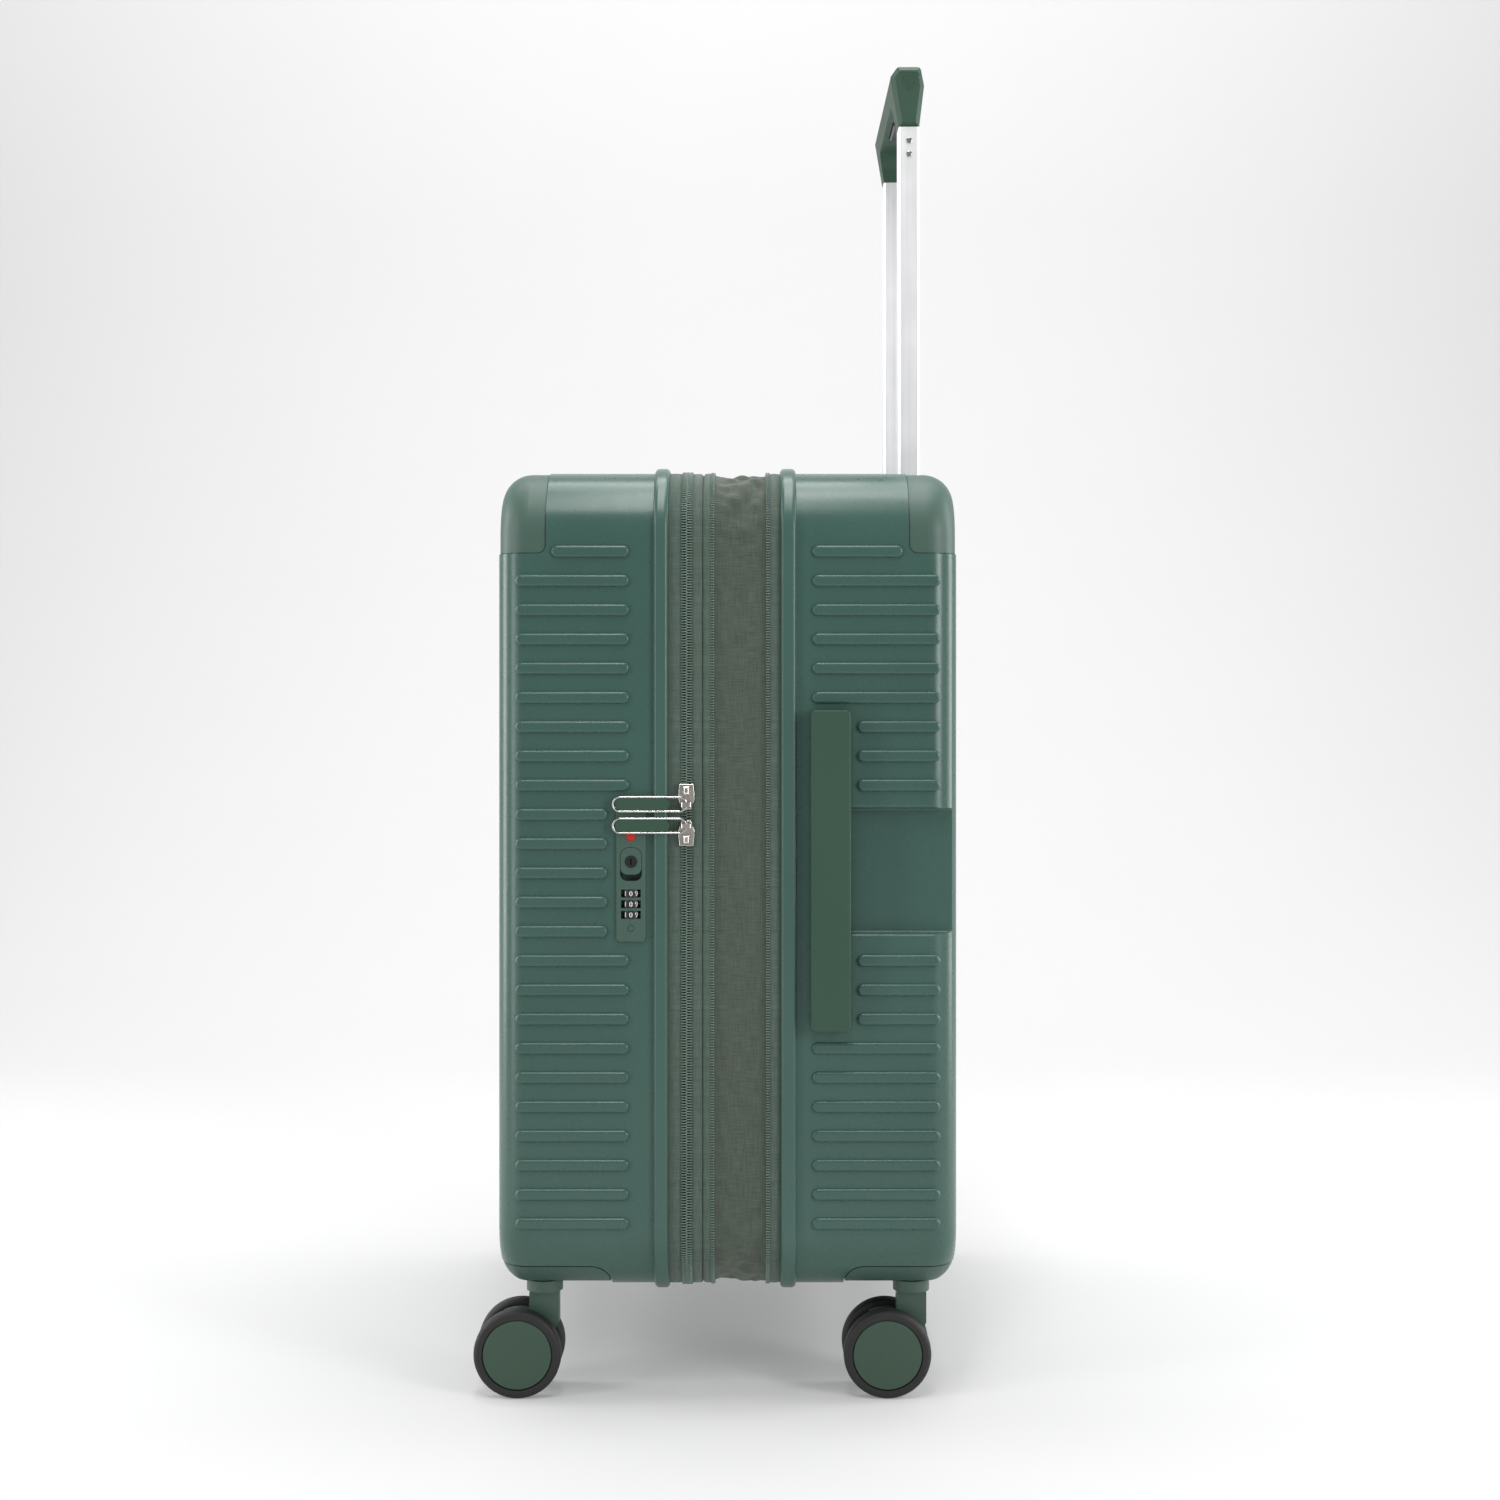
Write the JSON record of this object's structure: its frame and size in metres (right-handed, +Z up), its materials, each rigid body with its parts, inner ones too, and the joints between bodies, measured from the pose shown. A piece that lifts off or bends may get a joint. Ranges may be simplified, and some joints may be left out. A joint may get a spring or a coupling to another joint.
{
  "type": "suitcase",
  "caption": "expandable hard shell suitcase on swivelling twin-wheel casters, with a telescopic handle, a combination lock, zippers, an expansion gusset and carry handles",
  "frame": {"origin": "on the floor, below the middle of the case's width and depth", "axes": "+Z up, +X towards the side with the lock and the side handle, -Y towards the front shell, +Y towards the trolley handle"},
  "size_m": [0.466, 0.3437, 0.9731],
  "materials": {
    "shell": "dark green moulded shell, satin with a fine grain",
    "trim": "dark green satin plastic",
    "guard": "dark green matt plastic, finely textured",
    "soft_touch": "dark green soft-touch coating",
    "cloth": "woven grey-green polyester",
    "zipper": "woven tape with nylon coil teeth",
    "lining": "light woven polyester lining",
    "webbing": "ribbed elastic webbing",
    "black_plastic": "black moulded plastic",
    "lock_case": "dark green satin plastic",
    "red": "red indicator",
    "metal": "satin nickel",
    "steel": "plain steel",
    "tube": "satin anodised extrusion",
    "tyre": "black polyurethane",
    "hub": "dark green satin plastic"
  },
  "bodies": {
    "back_case": {"back_shell": "shell", "back_trim": "trim", "back_corner_guards": "guard", "back_caster_housings": "guard", "back_lining": "lining", "handle_bezel": "black_plastic", "outer_tubes": "tube", "expansion_zip_rear_half": "zipper", "expansion_gusset": "cloth", "handle_sockets": "guard", "packing_straps": "webbing", "strap_buckles": "black_plastic", "back_housing_screws": "steel"},
    "mid_frame": {"zipper_band": "zipper", "main_zip_rear_half": "zipper", "hinge_strip": "cloth"},
    "front_case": {"front_shell": "shell", "front_trim": "trim", "front_corner_guards": "guard", "front_caster_housings": "guard", "front_lining": "lining", "main_zip_front_half": "zipper", "lock_plate": "lock_case", "lock_indicator": "red", "front_housing_screws": "steel"},
    "trolley": {"inner_tubes": "tube", "handle_grip": "soft_touch", "grip_plugs": "black_plastic", "grip_rivets": "steel"},
    "release_button": {"release_button": "black_plastic"},
    "side_handle": {"side_handle": "soft_touch"},
    "top_handle": {"top_handle": "soft_touch"},
    "lock_button": {"lock_button": "lock_case"},
    "key_cylinder": {"key_cylinder": "metal"},
    "reset_button": {"reset_button": "metal"},
    "dial_top": {"dial_top": "black_plastic"},
    "dial_middle": {"dial_middle": "black_plastic"},
    "dial_bottom": {"dial_bottom": "black_plastic"},
    "zip_slider_upper": {"zip_slider_upper": "metal"},
    "pull_upper": {"pull_wire_upper": "steel", "pull_insert_upper": "soft_touch"},
    "zip_slider_lower": {"zip_slider_lower": "metal"},
    "pull_lower": {"pull_wire_lower": "steel", "pull_insert_lower": "soft_touch"},
    "caster_front_left": {"fork_front_left": "black_plastic", "axle_front_left": "steel"},
    "wheels_front_left": {"tyres_front_left": "tyre", "hubs_front_left": "hub"},
    "caster_front_right": {"fork_front_right": "black_plastic", "axle_front_right": "steel"},
    "wheels_front_right": {"tyres_front_right": "tyre", "hubs_front_right": "hub"},
    "caster_rear_left": {"fork_rear_left": "black_plastic", "axle_rear_left": "steel"},
    "wheels_rear_left": {"tyres_rear_left": "tyre", "hubs_rear_left": "hub"},
    "caster_rear_right": {"fork_rear_right": "black_plastic", "axle_rear_right": "steel"},
    "wheels_rear_right": {"tyres_rear_right": "tyre", "hubs_rear_right": "hub"}
  },
  "joints": [
    {"name": "expansion", "type": "slide", "parent": "back_case", "child": "mid_frame", "axis": [0, 1, 0], "range_m": [0, 0.036], "deforming": ["expansion_gusset"]},
    {"name": "front_open", "type": "hinge", "parent": "mid_frame", "child": "front_case", "pos_m": [-0.2295, -0.02, 0.37], "axis": [0, 0, 1], "range_deg": [-180, 0], "deforming": ["hinge_strip"]},
    {"name": "trolley_slide", "type": "slide", "parent": "back_case", "child": "trolley", "axis": [0, 0, 1], "range_m": [-0.315, 0]},
    {"name": "release_press", "type": "slide", "parent": "trolley", "child": "release_button", "axis": [0, 0, 1], "range_m": [0, 0.0035], "stiffness_N_per_m": 600, "springref_m": -0.002},
    {"name": "side_handle_pull", "type": "slide", "parent": "back_case", "child": "side_handle", "axis": [1, 0, 0], "range_m": [0, 0.0175], "stiffness_N_per_m": 150, "springref_m": -0.01},
    {"name": "top_handle_pull", "type": "slide", "parent": "back_case", "child": "top_handle", "axis": [0, 0, 1], "range_m": [0, 0.0175], "stiffness_N_per_m": 100, "springref_m": -0.01},
    {"name": "lock_button_slide", "type": "slide", "parent": "front_case", "child": "lock_button", "axis": [0, 0, -1], "range_m": [0, 0.0042], "stiffness_N_per_m": 500, "springref_m": -0.002},
    {"name": "key_turn", "type": "hinge", "parent": "lock_button", "child": "key_cylinder", "pos_m": [0.225, -0.059, 0.3833], "axis": [1, 0, 0], "range_deg": [0, 90]},
    {"name": "reset_press", "type": "slide", "parent": "front_case", "child": "reset_button", "axis": [-1, 0, 0], "range_m": [0, 0.0015], "stiffness_N_per_m": 400, "springref_m": -0.001},
    {"name": "dial_top_turn", "type": "hinge", "parent": "front_case", "child": "dial_top", "pos_m": [0.2208, -0.059, 0.361], "axis": [0, 0, 1], "continuous": true},
    {"name": "dial_middle_turn", "type": "hinge", "parent": "front_case", "child": "dial_middle", "pos_m": [0.2208, -0.059, 0.3535], "axis": [0, 0, 1], "continuous": true},
    {"name": "dial_bottom_turn", "type": "hinge", "parent": "front_case", "child": "dial_bottom", "pos_m": [0.2208, -0.059, 0.346], "axis": [0, 0, 1], "continuous": true},
    {"name": "zip_upper_slide", "type": "slide", "parent": "front_case", "child": "zip_slider_upper", "axis": [0, 0, 1], "range_m": [0, 0.17]},
    {"name": "pull_upper_swing", "type": "hinge", "parent": "zip_slider_upper", "child": "pull_upper", "pos_m": [0.2297, -0.02, 0.4238], "axis": [0, 0, 1], "range_deg": [0, 150]},
    {"name": "zip_lower_slide", "type": "slide", "parent": "front_case", "child": "zip_slider_lower", "axis": [0, 0, 1], "range_m": [-0.17, 0]},
    {"name": "pull_lower_swing", "type": "hinge", "parent": "zip_slider_lower", "child": "pull_lower", "pos_m": [0.2297, -0.02, 0.4087], "axis": [0, 0, 1], "range_deg": [0, 150]},
    {"name": "swivel_front_left", "type": "hinge", "parent": "front_case", "child": "caster_front_left", "pos_m": [-0.186, -0.123, 0.088], "axis": [0, 0, 1], "continuous": true},
    {"name": "roll_front_left", "type": "hinge", "parent": "caster_front_left", "child": "wheels_front_left", "pos_m": [-0.186, -0.141, 0.0312], "axis": [1, 0, 0], "continuous": true},
    {"name": "swivel_front_right", "type": "hinge", "parent": "front_case", "child": "caster_front_right", "pos_m": [0.186, -0.123, 0.088], "axis": [0, 0, 1], "continuous": true},
    {"name": "roll_front_right", "type": "hinge", "parent": "caster_front_right", "child": "wheels_front_right", "pos_m": [0.186, -0.141, 0.0312], "axis": [1, 0, 0], "continuous": true},
    {"name": "swivel_rear_left", "type": "hinge", "parent": "back_case", "child": "caster_rear_left", "pos_m": [-0.186, 0.1405, 0.088], "axis": [0, 0, 1], "continuous": true},
    {"name": "roll_rear_left", "type": "hinge", "parent": "caster_rear_left", "child": "wheels_rear_left", "pos_m": [-0.186, 0.1225, 0.0312], "axis": [1, 0, 0], "continuous": true},
    {"name": "swivel_rear_right", "type": "hinge", "parent": "back_case", "child": "caster_rear_right", "pos_m": [0.186, 0.1405, 0.088], "axis": [0, 0, 1], "continuous": true},
    {"name": "roll_rear_right", "type": "hinge", "parent": "caster_rear_right", "child": "wheels_rear_right", "pos_m": [0.186, 0.1225, 0.0312], "axis": [1, 0, 0], "continuous": true}
  ]
}
